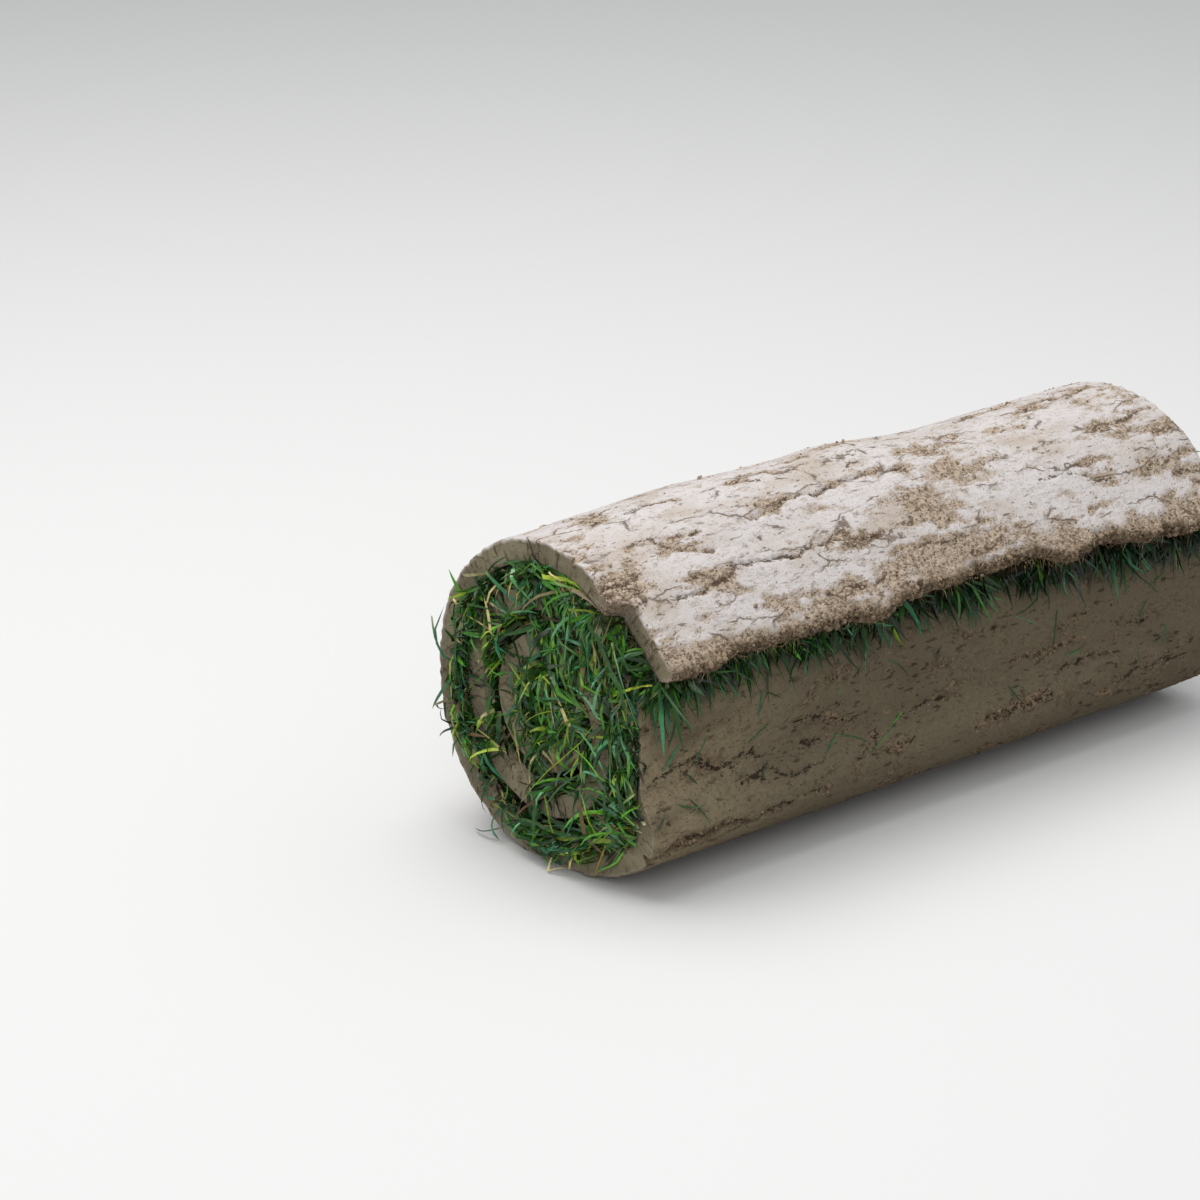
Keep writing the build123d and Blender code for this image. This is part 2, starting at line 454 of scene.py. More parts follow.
def layGrid(cells, stations):
    # every vertex of a slab: length along the strip, share of its width, layer and side of the loop
    part, layer, side = slabLoop(cells).T[:, None]
    return np.broadcast_arrays(stations[:, None], part, layer, side)


def rollSlab(name, stations, settings, lines):
    # a slab of soil rolled up along the section, with its relief; the free edge has a blunt nose
    nose = np.array(settings["nose"])
    squeeze = np.concatenate([nose, np.ones(len(stations))])[:, None]
    stations = np.concatenate([stations[0] - settings["noseLength"] * np.sqrt(1 - nose ** 2), stations])
    s, part, layer, side = layGrid(settings["cells"], stations)
    layer = 0.5 + (layer - 0.5) * squeeze
    nearEnd = -halfWidth + roll["flapSetBack"] * (1 - smoothStep(hingeEnd - 5, hingeEnd + 1, s))
    x = nearEnd + (halfWidth - nearEnd) * part
    if settings["ragged"]:
        lumps = 1.5 * layeredNoise(x / 4.4, layer * 4, 72, 2, 0.8) * fade(s, 4.0)
        undercut = 4.2 * layer ** 2 + 1.4 * layer * layeredNoise(x / 9, 1.1, 71, 2)
        s = s + freeEdge(x) * fade(s, 26.0) + lumps + undercut * fade(s, 6.0)
    height, crumb, pits, near, moist = soilRelief(s, x, settings, lines)
    edgeGap = np.minimum(x - nearEnd, halfWidth - x)
    worn = (0.9 - 0.5 * smoothStep(430, 520, s)) * fade(edgeGap, 1.6)
    height = height - worn * (1 + 0.8 * layeredNoise(s / 5, x / 5, 81, 2)) * (layer < 0.5)
    depth = layer * roll["soil"] - height * (1 - layer)
    depth = depth + (side == 2) * 0.8 * layeredNoise(s / 7, x / 7, 91, 2)
    # the cut ends: smooth, with short slits square to the strip and a few crumbled places
    endFace = (side == 1) | (side == 3)
    slit = np.clip(layeredNoise(s / 2.4, depth / 13 + 5 * side, 101, 2) - 0.72, 0, 1) * 2.4
    slit = slit * smoothStep(0.02, 0.2, layer) * (1 - smoothStep(0.85, 1.0, layer))
    torn = np.clip(layeredNoise(s / 9, depth / 5 + 3 * side, 102, 3) - 0.55, 0, 1) * 1.6
    dimple = 0.35 * layeredNoise(s / 6, depth / 6 + side, 103, 3)
    x = x + (slit + torn + dimple) * smoothStep(0.0, 0.1, layer) * endFace * np.where(side == 3, 1, -1)
    onEnd = endFace & (layer > 0.01)
    brokenEnd = bell(s, 55, 9) * settings["ragged"]
    loose = np.clip(torn * 1.2 + smoothStep(0.9, 1.0, layer) * 0.5, 0, 1)
    crumb = np.maximum(np.where(onEnd, np.maximum(loose, brokenEnd), crumb), (squeeze < 1) * 1.0)
    piece = gridObject(name, s, x, depth)
    setMasks(piece.data, (
        crumb,
        np.where(onEnd, np.clip(slit, 0, 1), pits),
        np.where(onEnd, 20, near),
        np.where(onEnd, 0.45 + 0.2 * brokenEnd, moist),
        onEnd * (squeeze == 1) * smoothStep(0.0, 0.12, layer) * (1 - brokenEnd),
    ))
    if settings["nose"]:
        capNose(piece, s.shape[1], settings["cells"][0])
    closeTube()
    return piece


outerEnd = 640.0
stations = np.concatenate([
    np.arange(3.4, 215, 1.5),
    np.arange(215, 520, 3.9),
    np.arange(520, 600, 1.8),
    np.linspace(600, outerEnd, 9),
])
allCracks = mainCracks + strayCracks(soilSettings)
soilOuter = rollSlab("soil_outer_turn", stations, soilSettings, allCracks)
print("outer turn of soil:", len(soilOuter.data.polygons), "faces")

innerSettings = dict(soilSettings, ragged=False, nose=(), cells=(40, 8, 16))
innerStations = np.arange(outerEnd - 0.5, stripLength + 0.01, 2.1)
soilInner = rollSlab("soil_inner_turns", innerStations, innerSettings, [])
print("inner turns of soil:", len(soilInner.data.polygons), "faces")


# Loose crumbs: small lumps along the torn edge, in the crumbly places and by the cracks, as one mesh
crumbSettings = {
    "edge": 1800,
    "tries": 30000,
    "surface": 2200,
    "notch": 520,
    "wall": 620,
    "large": 0.10,
    "largest": 4.6,
}


def lumpShape(subdivisions):
    bpy.ops.object.select_all(action="DESELECT")
    bpy.ops.mesh.primitive_ico_sphere_add(subdivisions=subdivisions, radius=0.5)
    template = bpy.context.object
    verts = np.array([vert.co[:] for vert in template.data.vertices])
    faces = np.array([face.vertices[:] for face in template.data.polygons])
    mesh = template.data
    bpy.data.objects.remove(template)
    bpy.data.meshes.remove(mesh)
    return verts, faces


def scatterCrumbs(settings):
    rng = np.random.default_rng(31)
    # along the torn edge, on its nose and just behind it
    count = settings["edge"]
    x = rng.uniform(flapEnd + 1, halfWidth - 1, count)
    clump = 1.0 + 0.9 * layeredNoise(x / 12, 0.0, 33, 2)
    depth = rng.uniform(-0.5, 9.5, count)
    s = freeEdge(x) + 0.3 + 0.012 * (depth - 4) ** 2 * 8 + np.abs(rng.normal(0, 0.8, count))
    size = np.exp(rng.normal(0.68, 0.42, count)) * np.clip(clump, 0.6, 1.6)
    groups = [(s, x, depth, size)]

    def tryPlaces(first, last, margin):
        s = rng.uniform(first, last, settings["tries"])
        x = rng.uniform(-halfWidth + margin, halfWidth - margin, settings["tries"])
        return s, np.where(s < hingeEnd, np.maximum(x, flapEnd + 0.5), x)

    def addOnFace(s, x, height, size, sunk):
        groups.append((s, x, -height - sunk * size, size))

    # on the outer face, where it is crumbly
    s, x = tryPlaces(1, 250, 0.5)
    height, crumb = soilRelief(s, x, soilSettings, allCracks)[:2]
    taken =np.flatnonzero(rng.random(len(s)) < np.clip(crumb - 0.35, 0, 1) * 1.3)[:settings["surface"]]
    addOnFace(s[taken], x[taken], height[taken], np.exp(rng.normal(0.1, 0.38, len(taken))), 0.1)
    # in the broken notch at the hinge
    count = settings["notch"]
    s, x = rng.normal(58, 6, count), -halfWidth + np.abs(rng.normal(0, 9, count)) + 0.4
    x = np.where(s < hingeEnd, np.maximum(x, flapEnd), x)
    height = soilRelief(s, x, soilSettings, allCracks)[0]
    addOnFace(s, x, height, np.exp(rng.normal(0.5, 0.4, count)), 0.15)
    # on the second turn, above its toe and beside its cracks
    s, x = tryPlaces(526, 600, 1)
    height, near = soilRelief(s, x, soilSettings, allCracks)[::3]
    toeCrack =hump(s, x, 544, -222, 6, 28)
    share = (0.4 + 2.5 * toeCrack) * bell(near, 2.5, 1.6)
    taken = np.flatnonzero(rng.random(len(s)) < share)[:settings["wall"]]
    size = np.exp(rng.normal(0.0, 0.35, len(taken))) * (1 + 0.6 * toeCrack[taken])
    addOnFace(s[taken], x[taken], height[taken], size, 0.1)

    s, x, depth, size = (np.concatenate(parts) for parts in zip(*groups))
    size = np.minimum(size, settings["largest"])
    high = sectionAt(s, depth)[1] > 0.7 * size
    s, x, depth, size = s[high], x[high], depth[high], size[high]
    # crumbs on the second turn and at the torn lip are darker: partly damp, partly painted shade
    shadedDamp = np.maximum(0.85 * smoothStep(440, 540, s), 0.9 * lipDampShade(s, x, 9))
    sx, sz = sectionAt(s, depth)[:2]
    centres = toRow(x, sx, sz)
    big = size > np.quantile(size, 1 - settings["large"])
    verts, tris, owner, offset = [], [], [], 0
    for chosen, subdivisions in ((~big, 1), (big, 2)):
        shape, faces = lumpShape(subdivisions)
        rows = np.flatnonzero(chosen)
        jitter = rng.uniform(0.75, 1.25, (len(rows), len(shape), 1))
        stretch = rng.uniform(0.65, 1.25, (len(rows), 1, 3))
        body = shape[None] * jitter * stretch * (size[rows] * mm)[:, None, None]
        verts.append((centres[rows][:, None] + body).reshape(-1, 3))
        firsts = offset + (np.arange(len(rows)) * len(shape))[:, None, None]
        tris.append((faces[None] + firsts).reshape(-1, 3))
        owner.append(np.repeat(rows, len(shape)))
        offset += len(rows) * len(shape)
    owner, verts = np.concatenate(owner), np.concatenate(verts)
    piece = meshObject("soil_crumbs", verts, np.zeros((0, 4), int), np.concatenate(tris))
    whole = np.ones(len(owner))
    dark = (rng.random(len(s)) ** 6)[owner] * 0.7
    setMasks(piece.data, (whole, dark, whole * 20, shadedDamp[owner], whole * 0))
    away = rng.uniform(0, 0.4, (len(s), 3))
    setAttribute(piece.data, "stripPlace", verts * 0.3 + away[owner])
    return piece


for piece in (soilOuter, soilInner):
    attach(piece, "root")
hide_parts("soil_mat")


# Thatch: the matted roots and stems between the turns, set back from the ends
thatchSettings = {"setBack": 7.0, "cells": (14, 5, 14), "step": 3.0, "rough": 1.6}


def rollThatch(settings):
    stations = np.arange(9.0, stripLength - 1, settings["step"])
    s, part, layer, side = layGrid(settings["cells"], stations)
    setBack = settings["setBack"] + roll["flapSetBack"] * (1 - smoothStep(hingeStart, hingeEnd + 6, s))
    nearEnd = -halfWidth + setBack
    x = nearEnd + (halfWidth - settings["setBack"] - nearEnd) * part
    s = s + freeEdge(x) * fade(s, 26.0)
    rough = settings["rough"] * layeredNoise(s / 6, x / 6 + layer * 9, 111, 3, 0.6)
    depth = roll["soil"] - 0.6 + (roll["sward"] - 0.6) * layer
    depth = depth + np.where(layer > 0.5, np.minimum(rough, 0.4), 0)
    onEnd = ((side == 1) | (side == 3)) * smoothStep(0.0, 0.1, layer)
    x = x + np.where(side == 3, 1, -1) * np.abs(rough) * 1.6 * onEnd
    piece = gridObject("thatch", s, x, depth)
    closeTube()
    return piece


thatch = rollThatch(thatchSettings)
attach(thatch, "root")
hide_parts("grass_sward")
print("thatch:", len(thatch.data.polygons), "faces")


# Blades of grass: each is a folded, tapered and closed leaf, and all of a place are one mesh
bladeColours = {
    # base colour and tip colour
    "deep": ((0.020, 0.074, 0.008), (0.015, 0.072, 0.011)),
    "green": ((0.058, 0.190, 0.015), (0.038, 0.172, 0.018)),
    "bright": ((0.160, 0.390, 0.026), (0.090, 0.320, 0.024)),
    "bluish": ((0.034, 0.165, 0.058), (0.030, 0.200, 0.092)),
    "pale": ((0.190, 0.420, 0.190), (0.110, 0.390, 0.200)),
    "yellow": ((0.420, 0.500, 0.050), (0.260, 0.420, 0.035)),
    "straw": ((0.600, 0.540, 0.270), (0.480, 0.380, 0.150)),
    "orange": ((0.560, 0.400, 0.050), (0.620, 0.330, 0.030)),
    "brown": ((0.130, 0.075, 0.030), (0.090, 0.050, 0.020)),
    "fibre": ((0.300, 0.210, 0.110), (0.200, 0.130, 0.065)),
}
stemColour = (0.56, 0.56, 0.28)


def bladeTones(rng, count, mix):
    # colours from root to tip for each blade, chosen by their share
    names = list(mix)
    share = np.array([mix[n] for n in names], float)
    chosen = rng.choice(len(names), count, p=share / share.sum())
    base = np.array([bladeColours[n][0] for n in names])[chosen]
    tip = np.array([bladeColours[n][1] for n in names])[chosen]
    shade = np.clip(np.exp(rng.normal(-0.06, 0.55, (count, 1))), 0.25, 1.6)
    return base * shade, tip * shade


def unit(vectors):
    return vectors / np.maximum(np.linalg.norm(vectors, axis=-1, keepdims=True), 1e-9)


def growBlades(name, roots, aims, lengths, widths, tones, settings, keepOff, rng, spare=None, extra=None):
    # each blade grows from its root step by step, and then gets its folded and closed leaf
    steps = settings["steps"]
    stride = (lengths / steps)[:, None]
    curl = rng.normal(0, 1, (len(roots), 3)) * settings["curl"]
    droop = settings["droop"][:, None] * np.array([0.0, 0.0, -1.0])
    ways = unit(aims)
    points = [roots]
    for k in range(steps):
        ways = unit(ways + droop * (0.35 + 0.65 * k / steps) + curl * (0.5 + k / steps))
        ways = unit(keepOff(points[-1] + ways * stride, k) - points[-1])
        points.append(points[-1] + ways * stride)
    points = np.stack(points, 1)
    if spare:
        kept = spare(points)
        points, widths, tones = points[kept], widths[kept], [tone[kept] for tone in tones]
    if extra:
        points, widths, *tones = (np.concatenate(pair) for pair in zip((points, widths, *tones), extra))
    count = len(points)
    way = unit(np.gradient(points, axis=1))
    spin = rng.normal(0, 1, (count, 3)) + settings["facing"]
    turn = rng.normal(0, settings["twist"], count)
    side = unit(np.cross(way, spin[:, None, :]))
    upward = np.cross(side, way)
    t = np.linspace(0, 1, steps + 1)
    angle = (turn[:, None] * t)[..., None]
    side, upward = (
        side * np.cos(angle) + upward * np.sin(angle),
        upward * np.cos(angle) - side * np.sin(angle),
    )
    taper = (0.7 + 0.3 * np.clip(t / 0.25, 0, 1)) * (1 - t ** 3.6) ** 0.8
    half = (widths[:, None] * taper * 0.5)[..., None]
    fold = half * 0.55 + 0.00012
    ring = np.stack([points - side * half, points - upward * fold, points + side * half], 2)[:, :steps]
    verts = np.concatenate([ring.reshape(count, steps * 3, 3), points[:, -1:]], 1)
    verts[..., 2] = np.maximum(verts[..., 2], 0.0003)
    per = steps * 3 + 1
    quads, tris = [], [(0, 1, 2)]
    for a in range(0, 3 * (steps - 1), 3):
        b = a + 3
        quads += [(a, b, b + 1, a + 1), (a + 1, b + 1, b + 2, a + 2), (a + 2, b + 2, b, a)]
    last = 3 * (steps - 1)
    tris += [(last, per - 1, last + 1), (last + 1, per - 1, last + 2), (last + 2, per - 1, last)]
    offset = (np.arange(count) * per)[:, None, None]
    quads = (np.array(quads) + offset).reshape(-1, 4)
    tris = (np.array(tris) + offset).reshape(-1, 3)
    piece = meshObject(name, verts.reshape(-1, 3), quads, tris)
    base, tip = tones
    blend = np.append(np.repeat(t[:steps], 3), 1.0)[None, :, None]
    colour = base[:, None] * (1 - blend) + tip[:, None] * blend
    stem = np.clip(1 - blend / 0.22, 0, 1) * rng.choice([0, 0.4, 0.95], (count, 1, 1), p=settings["stems"])
    setAttribute(piece.data, "bladeColour", colour * (1 - stem) + np.array(stemColour) * stem)
    return piece


def meshObject(name, verts, quads, tris):
    mesh = bpy.data.meshes.new(name)
    loops = np.concatenate([quads.ravel(), tris.ravel()]).astype(np.int32)
    starts = np.concatenate([np.arange(len(quads)) * 4, len(quads) * 4 + np.arange(len(tris)) * 3])
    mesh.vertices.add(len(verts))
    mesh.vertices.foreach_set("co", verts.astype(np.float32).ravel())
    mesh.loops.add(len(loops))
    mesh.loops.foreach_set("vertex_index", loops)
    mesh.polygons.add(len(starts))
    mesh.polygons.foreach_set("loop_start", starts.astype(np.int32))
    mesh.update(calc_edges=True)
    mesh.validate()
    piece = bpy.data.objects.new(name, mesh)
    bpy.context.collection.objects.link(piece)
    bpy.ops.object.select_all(action="DESELECT")
    piece.select_set(True)
    bpy.context.view_layer.objects.active = piece
    bpy.ops.object.mode_set(mode="EDIT")
    bpy.ops.mesh.select_all(action="SELECT")
    bpy.ops.mesh.normals_make_consistent(inside=False)
    bpy.ops.object.mode_set(mode="OBJECT")
    bpy.ops.object.shade_smooth_by_angle(angle=math.radians(50))
    return piece


def onStrip(s, x, depth):
    # places on the strip, with the ways inward and along it
    sx, sz, angle = sectionAt(s, depth)
    inward = np.stack([0 * s, np.sin(angle), np.cos(angle)], -1)
    along = np.stack([0 * s, -np.cos(angle), np.sin(angle)], -1)
    return toRow(x, sx, sz), inward, along


def endView(points):
    # millimetres in the end view
    return middleY - points[..., 1] * 1000, points[..., 2] * 1000


endGrass = {
    "steps": 6,
    "curl": 0.09,
    "twist": 0.8,
    "tufts": 430,
    "matted": 1250,
    "stems": [0.36, 0.26, 0.38],
    # places in the end view where soil shows between the blades: centre and half sizes
    "bare": [
        (-36, 88, 10, 36), (-22, 52, 10, 28), (-17, 134, 11, 7), (-58, 98, 7, 24), (-45, 40, 6, 12),
        (40, 107, 12, 5), (27, 66, 8, 6), (22, 42, 9, 5), (4, 35, 8, 6), (-30, 160, 9, 5), (10, 62, 6, 5),
    ],
    "bareShare": 0.97,
    # painted shade: darkening of the matted blades under the tufts
    "mattedPaintedShade": 0.45,
    "flapShare": 0.06,
    # how far blades may stand off the end, and past the middle on the open side, in metres
    "farthestOff": 0.0135,
    "wallReach": 0.0850,
    "mix": {
        "deep": 29, "green": 23, "bright": 14, "bluish": 10, "pale": 7, "yellow": 8, "straw": 5, "brown": 4,
    },
    "mattedMix": {"deep": 50, "green": 20, "bluish": 8, "brown": 20, "straw": 2},
}

# Single blades that stand out at the near end: points in the end view, stand-off, width and colour
singleBlades = [
    ([(-72, 164), (-60, 168), (-49, 171)], 8.0, 2.4, "straw"),
    ([(-50, 172), (-33, 169), (-12, 158)], 9.0, 2.2, "bluish"),
    ([(-50, 172), (-40, 181), (-31, 187)], 5.0, 2.0, "deep"),
    ([(-104, 129), (-96, 113), (-79, 101)], 6.0, 1.7, "bluish"),
    ([(-78, 101), (-90, 85), (-104, 68)], 7.0, 2.2, "bluish"),
    ([(-73, 136), (-77, 116), (-77, 98), (-62, 96)], 8.0, 1.8, "pale"),
    ([(-17, 34), (9, 62), (39, 86), (57, 108), (62, 126)], 11.0, 1.6, "yellow"),
    ([(7, 106), (14, 93), (22, 80)], 9.0, 2.0, "bright"),
    ([(16, 78), (24, 71), (28, 68)], 9.0, 2.2, "bright"),
    ([(20, 98), (34, 98), (48, 97)], 7.0, 1.8, "bluish"),
    ([(62, 43), (60, 29), (52, 13), (46, 3)], 6.0, 1.6, "orange"),
    ([(57, 58), (59, 44), (57, 34)], 6.0, 1.0, "orange"),
    ([(63, 158), (73, 144), (83, 124), (88, 108)], 8.0, 1.7, "pale"),
    ([(31, 172), (28, 150), (24, 126)], 9.0, 2.0, "pale"),
    ([(38, 166), (44, 148), (46, 132)], 9.0, 2.2, "bluish"),
    ([(-25, 103), (-26, 82), (-20, 62), (-10, 38)], 5.0, 1.0, "straw"),
    ([(-12, 60), (-8, 44), (-4, 26)], 6.0, 1.0, "straw"),
    ([(-38, 10), (-52, 4), (-64, 2)], 7.0, 1.8, "deep"),
    ([(-44, 16), (-40, 8), (-38, 2)], 9.0, 1.8, "pale"),
    ([(-56, 62), (-46, 52), (-33, 42)], 8.0, 2.6, "bluish"),
    ([(-44, 42), (-50, 30), (-56, 20)], 8.0, 2.6, "bluish"),
    ([(58, 72), (38, 46), (20, 14)], 9.0, 1.8, "bluish"),
    ([(84, 70), (66, 52), (52, 30)], 8.0, 1.8, "green"),
    ([(36, 22), (46, 27), (57, 31)], 6.0, 2.4, "yellow"),
    ([(68, 118), (77, 100), (86, 84)], 8.0, 1.5, "pale"),
    ([(46, 150), (40, 138), (28, 128), (16, 124)], 9.0, 1.8, "bright"),
    ([(55, 163), (60, 150), (58, 140)], 8.0, 2.0, "straw"),
    ([(48, 170), (50, 160), (52, 148)], 8.0, 1.6, "straw"),
]


def layBlades(singles, steps):
    # the single blades as smooth lines, in metres, with their widths and colours
    blades = []
    for places, standoff, width, colour in singles:
        line = np.array(places, float)
        gone = np.concatenate([[0], np.cumsum(np.linalg.norm(np.diff(line, axis=0), axis=1))])
        t = np.linspace(0, gone[-1], steps + 1)
        sx, sz = np.interp(t, gone, line[:, 0]), np.interp(t, gone, line[:, 1])
        for axis in (sx, sz):
            axis[1:-1] = 0.5 * axis[1:-1] + 0.25 * (axis[:-2] + axis[2:])
        lift = standoff * (0.55 + 0.45 * np.sin(np.linspace(0, math.pi, steps + 1)))
        blades.append((toRow(-halfWidth - lift, sx, sz), width * mm, *bladeColours[colour]))
    return [np.array(values) for values in zip(*blades)]


def endBlades(name, end, settings, seed, extra=None):
    # tufts that spill from the spiral gap at one end, over short matted blades: end is -1 near, +1 far
    rng = np.random.default_rng(seed)
    tufts, matted = settings["tufts"], settings["matted"]
    inTuft = rng.integers(3, 10, tufts)
    owner = np.concatenate([np.repeat(np.arange(tufts), inTuft), tufts + np.arange(matted)])
    short = owner >= tufts
    count = len(owner)
    starts = tufts + matted
    tuftS = rng.uniform(44, stripLength - 4, starts)
    tuftS = np.where(rng.random(starts) < settings["flapShare"], rng.uniform(1, 60, starts), tuftS)
    s = np.clip(tuftS[owner] + rng.normal(0, 1.6, count), 1, stripLength - 3)
    depth = roll["soil"] + rng.uniform(-0.2, 7.0, starts)[owner] + rng.uniform(-0.5, 1.0, count)
    inside = np.abs(rng.normal(0, 5.0, starts))[owner] + rng.uniform(0, 1.5, count) + 1.5 * short
    # short ones also lie over the cut end of the second turn, beside its open side
    overWall = short & (s > 555) & (s < 700)
    depth = np.where(overWall, rng.uniform(2, 16, count), depth)
    inside = np.where(overWall, -1.0, inside)
    sx, sz = sectionAt(s, depth)[:2]
    setBack = roll["flapSetBack"] * (1 - smoothStep(hingeStart + 6, hingeEnd + 2.5, s)) * (end < 0)
    roots, inward, along = onStrip(s, end * (halfWidth - setBack - inside), depth)
    outward = np.array([float(end), 0, 0])
    rightSide = smoothStep(-30, 30, sx)
    lowRight = rightSide * smoothStep(130, 90, sz)
    crossing = ((s > 545) & (s < 690)) * rng.uniform(0.2, 2.0, starts)[owner]
    inwardShare = rng.uniform(-0.35, 0.9, starts)[owner] - crossing
    alongShare = rng.normal(0, 1.05, starts)[owner]
    aims = outward * rng.uniform(0.45, 1.1, starts)[owner][:, None]
    aims = aims + inward * inwardShare[:, None] + along * alongShare[:, None]
    aims = aims + np.array([0, 0.0, -0.20]) * rightSide[:, None]
    aims = aims + np.array([0, 0.55, -0.15]) * lowRight[:, None]
    aims = aims + rng.normal(0, 0.32, (count, 3))
    lengths = np.clip(np.exp(rng.normal(0, 0.36, count)) * 0.023, 0.010, 0.050)
    lengths = lengths * (1 + 0.25 * rightSide) * np.where(short, 0.62, 1.0) + inside * 0.0006
    widths = 0.0014 + 0.0021 * rng.random(count) ** 1.6
    droop = 0.03 + 0.20 * rightSide + rng.uniform(0, 0.22, starts)[owner]
    settings = dict(settings, facing=(end * 1.2, 0, 0.6), droop=droop)
    standoff = np.where(short, rng.uniform(0.5, 3.0, count), rng.uniform(2.0, 12.5, starts)[owner])
    standoff = np.maximum(standoff + rng.normal(0, 1.2, count), 0.6) * mm
    standoff = np.minimum(standoff, settings["farthestOff"])
    # how far a blade may reach from the middle of the roll, and past its open side
    loose = rng.random(count)
    outerLimit = np.where(loose < 0.03, 0.002, np.where(loose < 0.13, -0.005, -0.0125))
    outerLimit = outerLimit + rng.uniform(-0.004, 0.0, count)
    wallLimit = settings["wallReach"] + rng.uniform(-0.005, 0.0, count) + 0.004 * (loose < 0.05)
    plane = halfWidth * mm
    centre = toRow(np.zeros(1), rollCentre[:1], rollCentre[1:])[0]

    def keepOff(p, k):
        p = p.copy()
        out = p[:, 0] * end
        p[:, 0] = np.where(out > plane + standoff, end * (plane + standoff), p[:, 0])
        near = (out > plane - 0.004) & (out < plane + 0.0005) & (k > 2)
        p[:, 0] = np.where(near, end * (plane + 0.0006), p[:, 0])
        fromCentre = p[:, 1:] - centre[1:]
        reach = np.linalg.norm(fromCentre, axis=1)
        rightward = fromCentre[:, 0] < 0
        above = (fromCentre[:, 1] > 0) & (fromCentre[:, 1] < 0.055)
        limit = np.where(rightward & above, wallLimit, roll["radius"] * mm + outerLimit)
        lowLeft = (fromCentre[:, 0] > 0.02) & (p[:, 2] > 0.015) & (p[:, 2] < 0.13) & (loose > 0.15)
        limit = np.where(lowLeft, limit - 0.0065, limit)
        over = np.maximum(reach - limit, 0) * (k > 0)
        p[:, 1:] -= fromCentre / np.maximum(reach, 1e-6)[:, None] * over[:, None]
        p[:, 1] = np.where(p[:, 2] < centre[2], np.maximum(p[:, 1], centre[1] - wallLimit), p[:, 1])
        p[:, 2] = np.maximum(p[:, 2], 0.0006 + standoff * 0.2)
        return p

    tall, low = bladeTones(rng, count, settings["mix"]), bladeTones(rng, count, settings["mattedMix"])
    # the matted blades are darkened as painted shade under the tufts, the tall ones made a touch lighter as
    # painted light
    tones = [np.where(short[:, None], b * settings["mattedPaintedShade"], a * 1.02) for a, b in zip(tall, low)]

    def spare(points):
        # most blades that would hide a bare place are left out
        sx, sz = endView(points[:, 2:])
        hiding = np.zeros(count, bool)
        for cx, cz, rx, rz in settings["bare"]:
            hiding |= (((sx - cx) / rx) ** 2 + ((sz - cz) / rz) ** 2 < 1).any(1)
        return ~(hiding & (rng.random(count) < settings["bareShare"]))

    return growBlades(name, roots, aims, lengths, widths, tones, settings, keepOff, rng, spare, extra)


nearGrass = endBlades("grass_near_end", -1, endGrass, 501, layBlades(singleBlades, endGrass["steps"]))
farGrass = endBlades("grass_far_end", 1, dict(endGrass, steps=5), 502)
print("end grass:", len(nearGrass.data.polygons), len(farGrass.data.polygons), "faces")


# Grass under the flap, hanging over the second turn
faceLine = np.array(sectionAt(np.linspace(crackStart - 6, wallStart + 190, 260), np.zeros(260))).T


def pushed(p, push, nx, nz):
    p = p.copy()
    p[:, 1] -= push * nx * mm
    p[:, 2] += push * nz * mm
    return p


def offWall(p, gap, limit=0.2545):
    # points pushed out of the second turn's soil, and kept between the ends of the roll
    sx, sz = endView(p)
    d = np.hypot(sx[:, None] - faceLine[None, :, 0], sz[:, None] - faceLine[None, :, 1])
    q = faceLine[d.argmin(1)]
    nx, nz = np.sin(q[:, 2]), -np.cos(q[:, 2])
    off = (sx - q[:, 0]) * nx + (sz - q[:, 1]) * nz
    p = pushed(p, np.maximum(gap - off, 0) * (d.min(1) < 40), nx, nz)
    p[:, 0] = np.clip(p[:, 0], -limit, limit)
    return p


def underFlap(p, gap):
    # points pushed below the flap's inner face
    startX, startZ, way = sectionRuns[0][1:4]
    sx, sz = endView(p)
    nx, nz = -math.sin(way), math.cos(way)
    below = (sx - startX) * nx + (sz - startZ) * nz
    along = (sx - startX) * math.cos(way) + (sz - startZ) * math.sin(way)
    return pushed(p, np.maximum(roll["soil"] + gap - below, 0) * (along > -2), nx, nz)


fringeGrass = {
    "steps": 4,
    "curl": 0.16,
    "twist": 0.8,
    "tufts": 1700,
    "short": 0.74,
    "stems": [0.75, 0.2, 0.05],
    "seed": 601,
    "facing": (0, -1.0, 0.5),
    "lengths": (0.012, 0.034),
    "mix": {
        "deep": 60, "green": 18, "bright": 5, "bluish": 12, "pale": 1, "yellow": 1.4, "straw": 0.3,
        "brown": 4,
    },
}


